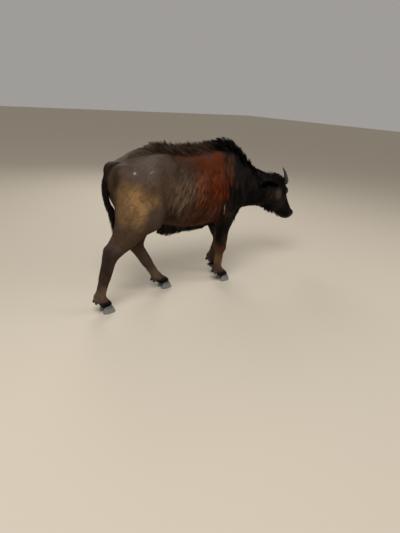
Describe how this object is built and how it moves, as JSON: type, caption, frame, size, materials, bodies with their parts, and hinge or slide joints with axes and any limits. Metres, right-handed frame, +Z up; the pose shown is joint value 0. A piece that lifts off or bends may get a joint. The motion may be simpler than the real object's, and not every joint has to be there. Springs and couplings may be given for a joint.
{
  "type": "water buffalo",
  "caption": "Life-size still model of a young shaggy water buffalo bull, walking with its head held low.",
  "frame": {"origin": "on the floor, under the middle of the whole animal's box", "axes": "+X forward, towards the head; +Y the animal's left; +Z up"},
  "size_m": [2.0236, 0.538, 1.1767],
  "materials": {
    "coat": "long shaggy hair, black to rust brown",
    "hide": "short flat hair over grey-brown hide",
    "horn": "ringed grey-black horn, worn satin",
    "hoof": "dusty blue-grey hoof horn",
    "eye": "wet, near-black brown eye"
  },
  "bodies": {
    "root": {"hind_right_upper": "hide", "hind_right_claw_left": "hoof", "hind_right_dewclaw_left": "hoof", "hind_right_claw_right": "hoof", "hind_right_dewclaw_right": "hoof", "hind_right_shank": "hide", "hind_left_upper": "hide", "hind_left_claw_left": "hoof", "hind_left_dewclaw_left": "hoof", "hind_left_claw_right": "hoof", "hind_left_dewclaw_right": "hoof", "hind_left_shank": "hide", "fore_right_upper": "hide", "fore_right_claw_left": "hoof", "fore_right_dewclaw_left": "hoof", "fore_right_claw_right": "hoof", "fore_right_dewclaw_right": "hoof", "fore_right_shank": "hide", "fore_left_upper": "hide", "fore_left_claw_left": "hoof", "fore_left_dewclaw_left": "hoof", "fore_left_claw_right": "hoof", "fore_left_dewclaw_right": "hoof", "fore_left_shank": "hide", "torso": "coat", "neck": "coat", "eye_left": "eye", "horn_left": "horn", "eye_right": "eye", "horn_right": "horn", "ear_right": "coat", "ear_left": "coat", "head": "coat", "tail_root": "coat", "tail_shank": "coat", "tail_switch": "coat"}
  },
  "joints": []
}
